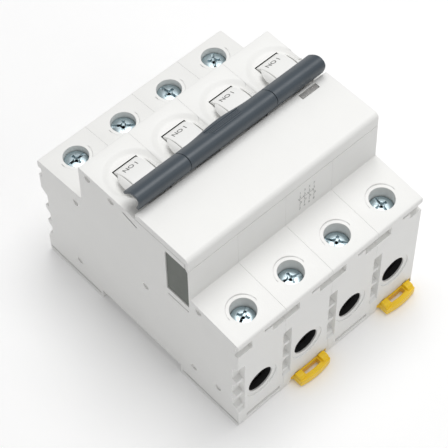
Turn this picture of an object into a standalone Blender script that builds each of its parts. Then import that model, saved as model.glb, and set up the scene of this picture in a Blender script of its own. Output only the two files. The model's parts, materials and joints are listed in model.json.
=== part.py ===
"""Four-pole modular circuit breaker for a 35 mm DIN rail, built from its separate pieces.

The breaker lies on its back. +Z is the front, +X the breaker's right, +Y its upper (line) end,
and z = 0 is the plane of the back feet. Sizes are in millimetres and become metres when a mesh is made.
"""

import math

import bmesh
import bpy
from mathutils import Matrix, Vector

MM = 0.001
GAP = 0.3                      # clearance between pieces that touch

# Case
POLE_PITCH = 18.0
POLES = 4
HALF_WIDTH = POLES * POLE_PITCH / 2
END_Y = 42.5                   # end faces of the case, at both ends
SHELF_TOP = {"far": (45.9, 47.4), "near": (44.9, 46.9)}    # height at the end face, at the nose
NOSE_FAR_Y, NOSE_NEAR_Y = -22.1, 23.15
SHOULDER_FAR_Y, SHOULDER_NEAR_Y = -22.3, 23.5
CASE_TOP = 62.8
COVER_STEP_Y, COVER_STEP_Z = 21.6, 60.3
RAIL_FAR_Y, RAIL_NEAR_Y, RAIL_SEAT_Z = -17.6, 17.8, 4.3
SIDE_WALL = 1.35               # from a pole's nominal side to its cavity
CAVITY_FLOOR, CAVITY_SHELF, CAVITY_TOP = 6.0, 44.0, 61.2
BLOCK_FLOOR = 36.7             # underside of the solid block round each terminal screw
CAVITY_ENDS = {"far": -40.1, "near": 39.4}
BLOCK_ENDS = {"far": -31.0, "near": 30.2}

# Front cover, trip indicator and side insert
COVER_FAR_Y, COVER_NEAR_Y = 2.0, 23.2
COVER_TOP, COVER_THICKNESS, COVER_EDGE_RADIUS = 65.55, 2.45, 1.6
COVER_LEG = 1.3
WINDOW_X, WINDOW_Y = (-30.8, -24.2), (3.0, 4.8)
WINDOW_GAP = 0.1
FLAG_POCKET_Z = 64.2
FLAG_LENGTH = 3.2
INSERT_Y, INSERT_Z = (13.7, 22.8), (42.3, 60.7)
INSERT_FACE_X, INSERT_THICKNESS = 35.2, 1.2

# Toggles and handle, which turn together about one axis along X
AXIS_Y, AXIS_Z = -7.0, 54.5
DRUM_RADIUS, HUB_RADIUS = 10.4, 3.0
DRUM_START, DRUM_END = -46.0, 98.0       # degrees from +Z towards +Y
STEM_ANGLE, STEM_HALF_WIDTH, STEM_REACH = 25.8, 1.5, 15.4
TOGGLE_OFFSET, TOGGLE_WIDTH = -1.5, 8.2
TOGGLE_SLOT_Y = (-14.4, 0.4)
TRUNNION_RADIUS, TRUNNION_HALF_LENGTH = 1.5, 8.1
TIE_ROD_RADIUS, TIE_ROD_REACH, TIE_ROD_HALF_LENGTH = 0.7, 13.0, 31.0
HANDLE_HALF_LENGTH, HANDLE_JOINT_X = 34.75, 16.2
HANDLE_OUTLINE = [(-3.8, 68.6), (-2.4, 70.1), (-0.6, 71.35), (0.9, 71.8), (2.2, 71.4), (2.9, 70.3),
                  (2.7, 68.2), (2.0, 67.0)]
HANDLE_HOLLOW = [(1.35, 67.65), (1.85, 68.6), (2.0, 70.0), (1.75, 70.5), (0.9, 70.85), (-0.2, 70.55),
                 (-1.9, 69.35), (-3.15, 68.0)]

# Terminals
SCREW_Y = {"far": -35.6, "near": 34.9}
HEAD_TOP = {"far": 44.8, "near": 42.4}
HEAD_RADIUS, HEAD_HEIGHT, SHANK_RADIUS, SCREW_TIP = 3.5, 3.4, 2.5, 23.1
WELL_RADIUS, SHANK_HOLE_RADIUS = 3.85, 2.8
SLOT_WIDTH, SLOT_DEPTH = 1.1, 1.4
CABLE_RADIUS, CABLE_Z = 4.5, 16.5
BAR_Z = (21.3, 22.8)
BAR_WIDTH = 7.0
CAGE_WIDTH, CAGE_DEPTH, CAGE_WALL = 12.0, 8.0, 1.3
CAGE_Z = (10.5, 25.8)
CAGE_WINDOW_Z = (12.0, 23.3)

# Rail clips, in the feet of two poles at each end
CLIP_POLES = (1, 3)
CLIP_OFFSET, CLIP_HALF_WIDTH, TAB_HALF_WIDTH = -1.3, 7.4, 6.0
CLIP_Z = (0.4, 3.0)
CLIP_NOSE_Y, CLIP_SHOULDER_Y, CLIP_TIP_Y, TAB_BOW = 16.9, 41.9, 46.4, 1.2
CLIP_SLOT_HALF_WIDTH, CLIP_SLOT_Y = 3.2, (42.9, 44.5)
CLIP_POCKET_TOP = 3.3

# Working parts inside each pole
CONTACT_PIVOT, CONTACT_TIP = (5.0, 41.0), (-5.9, 25.5)
CONTACT_HALF_WIDTH, CONTACT_THICKNESS, PIVOT_PIN_RADIUS = 1.3, 3.0, 1.0
COIL_Y, COIL_Z, COIL_RADIUS = (-27.0, -9.0), 33.0, 5.5
CHUTE_Y, CHUTE_Z, CHUTE_WIDTH = (-20.0, 8.0), (7.5, 19.5), 12.0
CHUTE_PLATES, CHUTE_PLATE_THICKNESS, CHUTE_BACK = 8, 1.0, 1.2
BIMETAL_Y, BIMETAL_TOP = (17.0, 18.2), 48.5
TRIP_BAR_Y, TRIP_BAR_Z, TRIP_BAR_RADIUS, TRIP_BAR_HALF_LENGTH = 15.0, 50.0, 1.3, 33.7
TRIP_LEVER_BOTTOM = 44.0
RIVET_PLACES = [(-27.4, 9.6), (23.7, 10.5), (-25.6, 42.1)]
RIVET_RADIUS, RIVET_HALF_LENGTH = 1.2, 35.0


def clear_scene():
    for item in list(bpy.data.objects):
        bpy.data.objects.remove(item)


def make_material(name, colour, roughness, metallic=0.0):
    material = bpy.data.materials.new(name)
    material.use_nodes = True
    shader = material.node_tree.nodes["Principled BSDF"]
    shader.inputs["Base Color"].default_value = (*colour, 1.0)
    shader.inputs["Roughness"].default_value = roughness
    shader.inputs["Metallic"].default_value = metallic
    return material


def arc(centre, radius, start, end, steps):
    """Points (y, z) on a circle, at angles in degrees measured from +Z towards +Y."""
    angles = [math.radians(start + (end - start) * i / steps) for i in range(steps + 1)]
    return [(centre[0] + radius * math.sin(a), centre[1] + radius * math.cos(a)) for a in angles]


def extruded(points, direction):
    """A closed prism: the flat outline of 3-D points, pulled along a direction."""
    shape = bmesh.new()
    face = shape.faces.new([shape.verts.new(point) for point in points])
    pulled = bmesh.ops.extrude_face_region(shape, geom=[face])
    new_verts = [item for item in pulled["geom"] if isinstance(item, bmesh.types.BMVert)]
    bmesh.ops.translate(shape, vec=Vector(direction), verts=new_verts)
    bmesh.ops.recalc_face_normals(shape, faces=shape.faces)
    return shape


def side_prism(outline, x0, x1):
    """An outline of (y, z) points, solid from x0 to x1."""
    return extruded([(x0, y, z) for y, z in outline], (x1 - x0, 0, 0))


def plan_prism(outline, z0, z1):
    """An outline of (x, y) points, solid from z0 to z1."""
    return extruded([(x, y, z0) for x, y in outline], (0, 0, z1 - z0))


def block(x, y, z):
    """A box between two limits along each axis."""
    return plan_prism([(x[0], y[0]), (x[1], y[0]), (x[1], y[1]), (x[0], y[1])], z[0], z[1])


def rod(axis, radius, start, end, at, sides=18):
    """A cylinder along axis "X", "Y" or "Z"; at gives its other two coordinates in order."""
    shape = bmesh.new()
    bmesh.ops.create_cone(shape, cap_ends=True, segments=sides, radius1=radius, radius2=radius,
                          depth=end - start)
    turn = {"X": Matrix.Rotation(math.pi / 2, 4, "Y"), "Y": Matrix.Rotation(math.pi / 2, 4, "X"),
            "Z": Matrix.Identity(4)}[axis]
    middle = list(at)
    middle.insert("XYZ".index(axis), (start + end) / 2)
    bmesh.ops.transform(shape, matrix=Matrix.Translation(middle) @ turn, verts=shape.verts)
    return shape


def add_object(name, shape, material=None, origin=(0, 0, 0)):
    """Turns a shape in millimetres into an object in metres with its origin at the given point."""
    for vert in shape.verts:
        vert.co = (vert.co - Vector(origin)) * MM
    mesh = bpy.data.meshes.new(name)
    shape.to_mesh(mesh)
    shape.free()
    piece = bpy.data.objects.new(name, mesh)
    piece.location = Vector(origin) * MM
    if material:
        mesh.materials.append(material)
        mesh.shade_smooth()
        mesh.set_sharp_from_angle(angle=math.radians(30))
    bpy.context.scene.collection.objects.link(piece)
    return piece


def tool_set(name, shapes):
    """A collection of hidden shapes, used together by Boolean modifiers."""
    tools = bpy.data.collections.new(name)
    bpy.context.scene.collection.children.link(tools)
    for index, shape in enumerate(shapes):
        tool = add_object(f"{name}_{index}", shape)
        bpy.context.scene.collection.objects.unlink(tool)
        tools.objects.link(tool)
        tool.hide_render = True
        tool.display_type = "WIRE"
    return tools


def combine(piece, tools, operation):
    modifier = piece.modifiers.new(tools.name, "BOOLEAN")
    modifier.operation = operation
    modifier.operand_type = "COLLECTION"
    modifier.collection = tools
    modifier.solver = "EXACT"


def cut(piece, *shapes):
    combine(piece, tool_set(piece.name + "_cuts", shapes), "DIFFERENCE")


def join(piece, *shapes):
    combine(piece, tool_set(piece.name + "_additions", shapes), "UNION")


def pole_centre(pole):
    return -HALF_WIDTH + POLE_PITCH * (pole - 0.5)


def end_sign(end):
    return -1 if end == "far" else 1


def case_outline():
    far_end, far_nose = SHELF_TOP["far"]
    near_end, near_nose = SHELF_TOP["near"]
    return [(-END_Y, 0), (RAIL_FAR_Y, 0), (RAIL_FAR_Y, RAIL_SEAT_Z), (RAIL_NEAR_Y, RAIL_SEAT_Z),
            (RAIL_NEAR_Y, 0), (END_Y, 0), (END_Y, near_end), (SHOULDER_NEAR_Y, near_nose),
            (NOSE_NEAR_Y, COVER_STEP_Z), (COVER_STEP_Y, COVER_STEP_Z), (COVER_STEP_Y, CASE_TOP),
            (NOSE_FAR_Y, CASE_TOP), (SHOULDER_FAR_Y, far_nose), (-END_Y, far_end)]


def cavity_outline():
    nose_far, nose_near = NOSE_FAR_Y + 1.5, COVER_STEP_Y - 1.0
    return [(CAVITY_ENDS["far"], CAVITY_FLOOR), (CAVITY_ENDS["near"], CAVITY_FLOOR),
            (CAVITY_ENDS["near"], BLOCK_FLOOR), (BLOCK_ENDS["near"], BLOCK_FLOOR),
            (BLOCK_ENDS["near"], CAVITY_SHELF), (nose_near, CAVITY_SHELF), (nose_near, CAVITY_TOP),
            (nose_far, CAVITY_TOP), (nose_far, CAVITY_SHELF), (BLOCK_ENDS["far"], CAVITY_SHELF),
            (BLOCK_ENDS["far"], BLOCK_FLOOR), (CAVITY_ENDS["far"], BLOCK_FLOOR)]


def terminal_cuts(centre, end):
    """The screw well, the hole for its shank and the cable entry at one end of a pole."""
    at = (centre, SCREW_Y[end])
    well_floor = HEAD_TOP[end] - HEAD_HEIGHT - GAP
    inner, outer = sorted((CAVITY_ENDS[end] - end_sign(end), end_sign(end) * (END_Y + 1)))
    return [rod("Z", WELL_RADIUS, well_floor, 50, at),
            rod("Z", SHANK_HOLE_RADIUS, BLOCK_FLOOR - 1, well_floor + 1, at),
            rod("Y", CABLE_RADIUS, inner, outer, (centre, CABLE_Z))]


def clip_pocket(centre, end):
    middle = centre + CLIP_OFFSET
    reach = CLIP_HALF_WIDTH + GAP
    ys = sorted((end_sign(end) * (CLIP_NOSE_Y - 1), end_sign(end) * (END_Y + 1)))
    return block((middle - reach, middle + reach), ys, (-1, CLIP_POCKET_TOP))


def pole_cuts(pole):
    centre = pole_centre(pole)
    inside = POLE_PITCH / 2 - SIDE_WALL
    toggle = centre + TOGGLE_OFFSET
    slot_reach = TOGGLE_WIDTH / 2 + GAP
    pin_reach = TRUNNION_HALF_LENGTH + GAP
    shapes = [side_prism(cavity_outline(), centre - inside, centre + inside),
              block((toggle - slot_reach, toggle + slot_reach), TOGGLE_SLOT_Y, (CAVITY_TOP - 1, 64)),
              rod("X", DRUM_RADIUS + GAP, toggle - slot_reach, toggle + slot_reach, (AXIS_Y, AXIS_Z), 36),
              rod("X", TRUNNION_RADIUS + GAP, centre - pin_reach, centre + pin_reach, (AXIS_Y, AXIS_Z), 12),
              rod("X", PIVOT_PIN_RADIUS + GAP, centre - pin_reach, centre + pin_reach, CONTACT_PIVOT, 10)]
    for end in ("far", "near"):
        shapes += terminal_cuts(centre, end)
        if pole in CLIP_POLES:
            shapes.append(clip_pocket(centre, end))
    return shapes


def make_case(plastic):
    """Each pole is a left and a right half shell, open to each other at the pole's middle."""
    through = [rod("X", RIVET_RADIUS + GAP, -RIVET_HALF_LENGTH - GAP, RIVET_HALF_LENGTH + GAP, place, 10)
               for place in RIVET_PLACES]
    bar_reach = TRIP_BAR_HALF_LENGTH + GAP
    through.append(rod("X", TRIP_BAR_RADIUS + GAP, -bar_reach, bar_reach, (TRIP_BAR_Y, TRIP_BAR_Z), 12))
    shared = tool_set("through_cuts", through)
    for pole in range(1, POLES + 1):
        own = tool_set(f"pole_{pole}_cuts", pole_cuts(pole))
        for side, shift in (("left", -POLE_PITCH / 2), ("right", 0.0)):
            x0 = pole_centre(pole) + shift
            x1 = x0 + POLE_PITCH / 2
            x0 += GAP / 2 if x0 > -HALF_WIDTH else 0
            x1 -= GAP / 2 if x1 < HALF_WIDTH else 0
            shell = add_object(f"pole_{pole}_case_{side}", side_prism(case_outline(), x0, x1), plastic)
            combine(shell, own, "DIFFERENCE")
            combine(shell, shared, "DIFFERENCE")
            if x1 == HALF_WIDTH:
                cut(shell, block((HALF_WIDTH - 2, HALF_WIDTH + 1), INSERT_Y, INSERT_Z))


def make_front_cover(plastic):
    top, bottom = COVER_TOP, COVER_TOP - COVER_THICKNESS
    inner_y = COVER_NEAR_Y - COVER_LEG
    rounded = arc((COVER_NEAR_Y - COVER_EDGE_RADIUS, top - COVER_EDGE_RADIUS), COVER_EDGE_RADIUS, 0, 90, 5)
    outline = [(COVER_FAR_Y, bottom), (COVER_FAR_Y, top)] + rounded
    outline += [(COVER_NEAR_Y, COVER_STEP_Z + GAP), (inner_y, COVER_STEP_Z + GAP), (inner_y, bottom)]
    cover = add_object("front_cover", side_prism(outline, -HALF_WIDTH, HALF_WIDTH), plastic)
    pocket_x = (-HALF_WIDTH + 1.5, WINDOW_X[1] + 0.5)
    cut(cover, block(WINDOW_X, WINDOW_Y, (bottom - 1, top + 1)),
        block(pocket_x, (WINDOW_Y[0] - 0.4, WINDOW_Y[1] + 0.4), (bottom - 1, FLAG_POCKET_Z)))


def make_trip_indicator(clear, red):
    window_x = (WINDOW_X[0] + WINDOW_GAP, WINDOW_X[1] - WINDOW_GAP)
    window_y = (WINDOW_Y[0] + WINDOW_GAP, WINDOW_Y[1] - WINDOW_GAP)
    add_object("trip_window", block(window_x, window_y, (FLAG_POCKET_Z + 0.1, COVER_TOP - 0.1)), clear)
    flag_x = (WINDOW_X[0] - GAP - FLAG_LENGTH, WINDOW_X[0] - GAP)
    flag_z = (CASE_TOP + 0.5, FLAG_POCKET_Z - 0.2)
    flag = block(flag_x, window_y, flag_z)
    add_object("trip_flag", flag, red, (sum(flag_x) / 2, sum(window_y) / 2, sum(flag_z) / 2))


def make_side_insert(plastic):
    shape = block((INSERT_FACE_X - INSERT_THICKNESS, INSERT_FACE_X), (INSERT_Y[0] + GAP, INSERT_Y[1] - GAP),
                  (INSERT_Z[0] + GAP, INSERT_Z[1] - GAP))
    add_object("side_coupling_insert", shape, plastic)


def stem_point(reach, sideways=0.0):
    """A point (y, z) that far along the toggle's stem, and that far to its near side."""
    a = math.radians(STEM_ANGLE)
    return (AXIS_Y + reach * math.sin(a) + sideways * math.cos(a),
            AXIS_Z + reach * math.cos(a) - sideways * math.sin(a))


def make_toggles(plastic, handle_axis):
    axis = (AXIS_Y, AXIS_Z)
    edge = math.degrees(math.asin(STEM_HALF_WIDTH / DRUM_RADIUS))
    outline = arc(axis, DRUM_RADIUS, DRUM_START, STEM_ANGLE - edge, 8)
    outline += [stem_point(STEM_REACH, -STEM_HALF_WIDTH), stem_point(STEM_REACH, STEM_HALF_WIDTH)]
    outline += arc(axis, DRUM_RADIUS, STEM_ANGLE + edge, DRUM_END, 8)
    outline += arc(axis, HUB_RADIUS, DRUM_END, DRUM_START + 360, 8)
    for pole in range(1, POLES + 1):
        centre = pole_centre(pole)
        middle = centre + TOGGLE_OFFSET
        shape = side_prism(outline, middle - TOGGLE_WIDTH / 2, middle + TOGGLE_WIDTH / 2)
        toggle = add_object(f"pole_{pole}_toggle", shape, plastic, (middle, AXIS_Y, AXIS_Z))
        join(toggle, rod("X", TRUNNION_RADIUS, centre - TRUNNION_HALF_LENGTH, centre + TRUNNION_HALF_LENGTH,
                         axis, 12))
        cut(toggle, rod("X", TIE_ROD_RADIUS + 0.2, middle - TOGGLE_WIDTH, middle + TOGGLE_WIDTH,
                        stem_point(TIE_ROD_REACH), 12))
        attach(toggle, handle_axis)


def attach(piece, holder):
    """Parents a piece to an empty without moving it."""
    piece.location = piece.location - holder.location
    piece.parent = holder


def make_handle(plastic, steel, handle_axis):
    inner, outer = HANDLE_JOINT_X, HANDLE_HALF_LENGTH
    spans = {"handle_left": (-outer, -inner - GAP / 2), "handle_centre": (-inner + GAP / 2, inner - GAP / 2),
             "handle_right": (inner + GAP / 2, outer)}
    for name, (x0, x1) in spans.items():
        shape = side_prism(HANDLE_OUTLINE + HANDLE_HOLLOW, x0, x1)
        attach(add_object(name, shape, plastic, ((x0 + x1) / 2, AXIS_Y, AXIS_Z)), handle_axis)
    tie = rod("X", TIE_ROD_RADIUS, -TIE_ROD_HALF_LENGTH, TIE_ROD_HALF_LENGTH, stem_point(TIE_ROD_REACH), 10)
    attach(add_object("handle_tie_rod", tie, steel, (0, AXIS_Y, AXIS_Z)), handle_axis)


def make_terminal(pole, end, zinc, steel):
    """A captive slotted screw and the clamp cage that it raises."""
    centre, y = pole_centre(pole), SCREW_Y[end]
    top = HEAD_TOP[end]
    neck = top - HEAD_HEIGHT
    screw = add_object(f"pole_{pole}_{end}_screw", rod("Z", HEAD_RADIUS, neck, top, (centre, y)), zinc,
                       (centre, y, neck))
    join(screw, rod("Z", SHANK_RADIUS, SCREW_TIP, neck + 1, (centre, y), 16))
    cut(screw, block((centre - HEAD_RADIUS - 1, centre + HEAD_RADIUS + 1),
                     (y - SLOT_WIDTH / 2, y + SLOT_WIDTH / 2), (top - SLOT_DEPTH, top + 1)))
    half, depth = CAGE_WIDTH / 2, CAGE_DEPTH / 2
    cage = add_object(f"pole_{pole}_{end}_clamp_cage",
                      block((centre - half, centre + half), (y - depth, y + depth), CAGE_Z), steel,
                      (centre, y, CAGE_Z[0]))
    opening = half - CAGE_WALL
    cut(cage, block((centre - opening, centre + opening), (y - depth - 1, y + depth + 1), CAGE_WINDOW_Z),
        rod("Z", SHANK_RADIUS + 0.2, CAGE_WINDOW_Z[1] - 1, CAGE_Z[1] + 1, (centre, y), 16))


def make_clip(pole, end, plastic):
    """A rail clip: a sliding plate with a hooked nose, and a bowed tab with a screwdriver slot."""
    middle = pole_centre(pole) + CLIP_OFFSET
    sign = end_sign(end)
    bow = [(TAB_HALF_WIDTH * i / 4, CLIP_TIP_Y - TAB_BOW * (i / 4) ** 2) for i in range(4, -5, -1)]
    plan = [(CLIP_HALF_WIDTH, CLIP_NOSE_Y), (CLIP_HALF_WIDTH, CLIP_SHOULDER_Y),
            (TAB_HALF_WIDTH, CLIP_SHOULDER_Y)] + bow
    plan += [(-TAB_HALF_WIDTH, CLIP_SHOULDER_Y), (-CLIP_HALF_WIDTH, CLIP_SHOULDER_Y),
             (-CLIP_HALF_WIDTH, CLIP_NOSE_Y)]
    placed = [(middle + x, sign * y) for x, y in plan]
    clip = add_object(f"pole_{pole}_{end}_rail_clip", plan_prism(placed, *CLIP_Z), plastic,
                      (middle, sign * CLIP_SHOULDER_Y, CLIP_Z[0]))
    slot_y = sorted(sign * y for y in CLIP_SLOT_Y)
    cut(clip, block((middle - CLIP_SLOT_HALF_WIDTH, middle + CLIP_SLOT_HALF_WIDTH), slot_y, (-1, 5)))


def make_contact_arm(pole, copper):
    """The moving contact, a bar turning on its own cross pin."""
    centre = pole_centre(pole)
    (py, pz), (ty, tz) = CONTACT_PIVOT, CONTACT_TIP
    length = math.hypot(ty - py, tz - pz)
    ny, nz = (pz - tz) / length * CONTACT_HALF_WIDTH, (ty - py) / length * CONTACT_HALF_WIDTH
    outline = [(py + ny, pz + nz), (ty + ny, tz + nz), (ty - ny, tz - nz), (py - ny, pz - nz)]
    half = CONTACT_THICKNESS / 2
    arm = add_object(f"pole_{pole}_contact_arm", side_prism(outline, centre - half, centre + half), copper,
                     (centre, py, pz))
    join(arm, rod("X", PIVOT_PIN_RADIUS, centre - TRUNNION_HALF_LENGTH, centre + TRUNNION_HALF_LENGTH,
                  CONTACT_PIVOT, 12))


def make_magnetic_trip(pole, copper):
    """The coil, with the far terminal's bar at one end and the fixed contact at the other."""
    centre = pole_centre(pole)
    half = BAR_WIDTH / 2
    y0, y1 = COIL_Y
    bar_end = SCREW_Y["far"] - CAGE_DEPTH / 2
    bar = [(bar_end, BAR_Z[0]), (y0 + 0.5, BAR_Z[0]), (y0 + 0.5, COIL_Z), (y0 - 1, COIL_Z),
           (y0 - 1, BAR_Z[1]), (bar_end, BAR_Z[1])]
    coil = add_object(f"pole_{pole}_magnetic_trip", rod("Y", COIL_RADIUS, y0, y1, (centre, COIL_Z)), copper)
    join(coil, side_prism(bar, centre - half, centre + half),
         block((centre - half, centre + half), (y1 - 0.5, y1 + 1.5), (22.0, COIL_Z + 4)))


def make_arc_chute(pole, steel):
    """A stack of splitter plates standing on one backing plate."""
    centre = pole_centre(pole)
    (y0, y1), (z0, z1) = CHUTE_Y, CHUTE_Z
    pitch = (y1 - y0 - CHUTE_PLATE_THICKNESS) / (CHUTE_PLATES - 1)
    outline = [(y0, z0), (y1, z0)]
    for plate in reversed(range(CHUTE_PLATES)):
        left = y0 + plate * pitch
        right = left + CHUTE_PLATE_THICKNESS
        if plate < CHUTE_PLATES - 1:
            outline.append((right, z0 + CHUTE_BACK))
        outline += [(right, z1), (left, z1)]
        if plate > 0:
            outline.append((left, z0 + CHUTE_BACK))
    add_object(f"pole_{pole}_arc_chute",
               side_prism(outline, centre - CHUTE_WIDTH / 2, centre + CHUTE_WIDTH / 2), steel)


def make_bimetal(pole, metal):
    """The thermal strip, standing on the near terminal's bar."""
    centre = pole_centre(pole)
    y0, y1 = BIMETAL_Y
    bar_end = SCREW_Y["near"] + CAGE_DEPTH / 2
    outline = [(y0, BAR_Z[0]), (bar_end, BAR_Z[0]), (bar_end, BAR_Z[1]), (y1, BAR_Z[1]), (y1, BIMETAL_TOP),
               (y0, BIMETAL_TOP)]
    add_object(f"pole_{pole}_bimetal", side_prism(outline, centre - BAR_WIDTH / 2, centre + BAR_WIDTH / 2),
               metal)


def make_trip_bar(plastic):
    """One bar through all poles, with a lever in front of each bimetal strip."""
    centre = (TRIP_BAR_Y, TRIP_BAR_Z)
    bar = add_object("trip_bar", rod("X", TRIP_BAR_RADIUS, -TRIP_BAR_HALF_LENGTH, TRIP_BAR_HALF_LENGTH,
                                     centre, 12), plastic, (0, *centre))
    join(bar, *[block((pole_centre(pole) - 1.5, pole_centre(pole) + 1.5), (TRIP_BAR_Y - 0.6, TRIP_BAR_Y + 0.6),
                      (TRIP_LEVER_BOTTOM, TRIP_BAR_Z)) for pole in range(1, POLES + 1)])


def make_rivets(steel):
    for index, place in enumerate(RIVET_PLACES, 1):
        shape = rod("X", RIVET_RADIUS, -RIVET_HALF_LENGTH, RIVET_HALF_LENGTH, place, 10)
        add_object(f"case_rivet_{index}", shape, steel)


def main():
    clear_scene()
    case_white = make_material("case_white", (0.86, 0.86, 0.83), 0.42)
    toggle_white = make_material("toggle_white", (0.88, 0.88, 0.86), 0.35)
    slate = make_material("handle_slate", (0.075, 0.095, 0.115), 0.38)
    green_grey = make_material("insert_grey", (0.13, 0.14, 0.125), 0.5)
    yellow = make_material("clip_yellow", (0.85, 0.56, 0.015), 0.35)
    smoke = make_material("window_smoke", (0.35, 0.36, 0.36), 0.1)
    red = make_material("flag_red", (0.6, 0.03, 0.02), 0.4)
    zinc = make_material("zinc_plate", (0.62, 0.66, 0.72), 0.3, 1.0)
    steel = make_material("steel", (0.5, 0.5, 0.5), 0.35, 1.0)
    copper = make_material("copper", (0.72, 0.37, 0.2), 0.35, 1.0)
    strip = make_material("bimetal", (0.55, 0.5, 0.42), 0.4, 1.0)
    dark = make_material("trip_bar_black", (0.03, 0.03, 0.03), 0.5)

    handle_axis = bpy.data.objects.new("handle_axis", None)
    handle_axis.location = Vector((0, AXIS_Y, AXIS_Z)) * MM
    bpy.context.scene.collection.objects.link(handle_axis)

    make_case(case_white)
    make_front_cover(case_white)
    make_trip_indicator(smoke, red)
    make_side_insert(green_grey)
    make_toggles(toggle_white, handle_axis)
    make_handle(slate, steel, handle_axis)
    for pole in range(1, POLES + 1):
        for end in ("far", "near"):
            make_terminal(pole, end, zinc, steel)
            if pole in CLIP_POLES:
                make_clip(pole, end, yellow)
        make_contact_arm(pole, copper)
        make_magnetic_trip(pole, copper)
        make_arc_chute(pole, steel)
        make_bimetal(pole, strip)
    make_trip_bar(dark)
    make_rivets(steel)


main()
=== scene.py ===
"""Looks of the four-pole modular circuit breaker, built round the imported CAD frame.

Lengths are in millimetres in the row frame until a mesh is made, which turns them into metres.
+Z is the front, +X the breaker's right, +Y its line end. "near" is the +Y end and "far" the -Y end.
"""

import json
import math

import bmesh
import bpy
from mathutils import Matrix, Vector

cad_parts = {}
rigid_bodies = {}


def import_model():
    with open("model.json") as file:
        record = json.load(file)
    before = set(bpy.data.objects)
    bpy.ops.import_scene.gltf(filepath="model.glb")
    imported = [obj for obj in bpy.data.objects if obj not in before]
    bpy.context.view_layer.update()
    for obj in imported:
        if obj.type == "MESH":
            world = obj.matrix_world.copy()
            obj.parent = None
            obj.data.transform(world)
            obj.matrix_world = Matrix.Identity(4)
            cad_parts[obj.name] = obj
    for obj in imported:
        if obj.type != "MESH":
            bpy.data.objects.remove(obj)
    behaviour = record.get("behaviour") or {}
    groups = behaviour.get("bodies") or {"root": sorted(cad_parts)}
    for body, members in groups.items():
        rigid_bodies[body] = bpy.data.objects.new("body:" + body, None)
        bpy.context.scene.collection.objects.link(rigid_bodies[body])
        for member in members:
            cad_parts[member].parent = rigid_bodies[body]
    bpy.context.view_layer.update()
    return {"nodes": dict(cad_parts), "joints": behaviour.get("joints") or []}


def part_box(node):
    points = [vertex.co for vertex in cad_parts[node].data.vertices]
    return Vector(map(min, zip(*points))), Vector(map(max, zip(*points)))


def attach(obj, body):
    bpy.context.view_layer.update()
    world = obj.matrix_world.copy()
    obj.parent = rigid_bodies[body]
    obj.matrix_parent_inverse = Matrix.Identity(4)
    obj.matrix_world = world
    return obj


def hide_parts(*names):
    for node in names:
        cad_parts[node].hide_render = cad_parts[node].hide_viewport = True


MM = 0.001
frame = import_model()

# ---------------------------------------------------------------- places read from the frame


def box_mm(node):
    low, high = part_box(node)
    return low / MM, high / MM


def joint_named(name):
    return next(joint for joint in frame["joints"] if joint["name"] == name)


POLES = (1, 2, 3, 4)
ENDS = {"far": -1, "near": 1}
CASE_CORNER = box_mm("pole_4_case_right")[1]
HALF_WIDTH, END_Y, CASE_TOP = CASE_CORNER
PITCH = HALF_WIDTH / 2
CENTRE = {pole: -HALF_WIDTH + PITCH * (pole - 0.5) for pole in POLES}
COVER_LOW, COVER_HIGH = box_mm("front_cover")
INSERT_LOW, INSERT_HIGH = box_mm("side_coupling_insert")
LENS_LOW, LENS_HIGH = box_mm("trip_window")
HANDLE_RIGHT_END = box_mm("handle_right")[1].x
HANDLE_JOINT_X = box_mm("handle_centre")[1].x
AXIS_Y, AXIS_Z = (value / MM for value in joint_named("handle_turn")["pos_m"][1:])
TOGGLE = {pole: box_mm(f"pole_{pole}_toggle") for pole in POLES}
SCREW = {(pole, end): box_mm(f"pole_{pole}_{end}_screw") for pole in POLES for end in ENDS}
CLIPS = [(pole, end) for pole in POLES for end in ENDS if f"pole_{pole}_{end}_rail_clip" in frame["nodes"]]

# ---------------------------------------------------------------- sizes of the looks

SEAM = 0.03                    # gap between two poles
POLE_SEAM_SOFTNESS = 0.3       # how much of the soft edge the joint between two poles gets
SOFT_EDGE = 0.16               # rounding of moulded edges
OVERSHOOT = 1.0                # how far a cutting shape passes the face that it opens
SHELF = {"far": (45.9, 47.4), "near": (44.9, 46.9)}    # height of a shelf at the end, and at the nose
SHOULDER_Y = {"far": -22.3, "near": 23.45}
NOSE_FAR_Y, NOSE_NEAR_Y, COVER_STEP_Z = -22.1, 23.2, 60.45
NOSE_WALL = {"far": 1.5, "near": 2.6}
COVER_LEG = 1.5                # how far the case steps in behind the cover's leg
RAIL_FAR_Y, RAIL_NEAR_Y, RAIL_SEAT_Z = -17.6, 17.8, 4.3
RAIL_TOOTH_REACH, RAIL_TOOTH_Z = 0.4, 1.6
FOOT_ROUND, LIP_ROUND, SHOULDER_ROUND, NOSE_ROUND = 1.2, 0.7, 0.35, 0.5
WALL = 1.3
CAVITY_FLOOR, CAVITY_SHELF, CAVITY_TOP, BLOCK_FLOOR = 6.0, 44.0, 61.0, 36.7
CAVITY_END = {"far": -40.1, "near": 39.4}
BLOCK_END = {"far": -31.0, "near": 30.2}
WELL_RADIUS, WELL_RING_RADIUS, WELL_RING_DEPTH, WELL_CUTTER_TOP = 3.85, 4.9, 0.05, 52
THREAD_HOLE_RADIUS = 2.8
HEAD_RADIUS, HEAD_HEIGHT = 3.7, 3.4
CABLE_RADIUS, CABLE_Z, CABLE_RING_RADIUS, CABLE_RING_DEPTH = 4.45, 16.5, 5.9, 0.4
INK_RISE, INK_DEPTH = 0.035, 0.03
# room behind each cable hole, which the black ring of painted shade fills
FUNNEL_RADIUS, FUNNEL_END = 5.6, 41.5
TOGGLE_OFFSET = -1.5           # from a pole's centre to the middle of its toggle
DRUM_RADIUS, DRUM_HALF_WIDTH, DRUM_GAP = 10.4, 4.1, 0.3
SLIT_Y, SLIT_NEAR_Y = -14.85, 0.6
DISH_CENTRE, DISH_RADIUS, DISH_DEPTH, DISH_EASE = (-0.95, -9.9), 9.2, 1.0, 2.7
HANDLE_THICKNESS, HANDLE_JOINT_GAP, GRIP_RIDGES = 0.85, 0.12, 5
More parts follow.
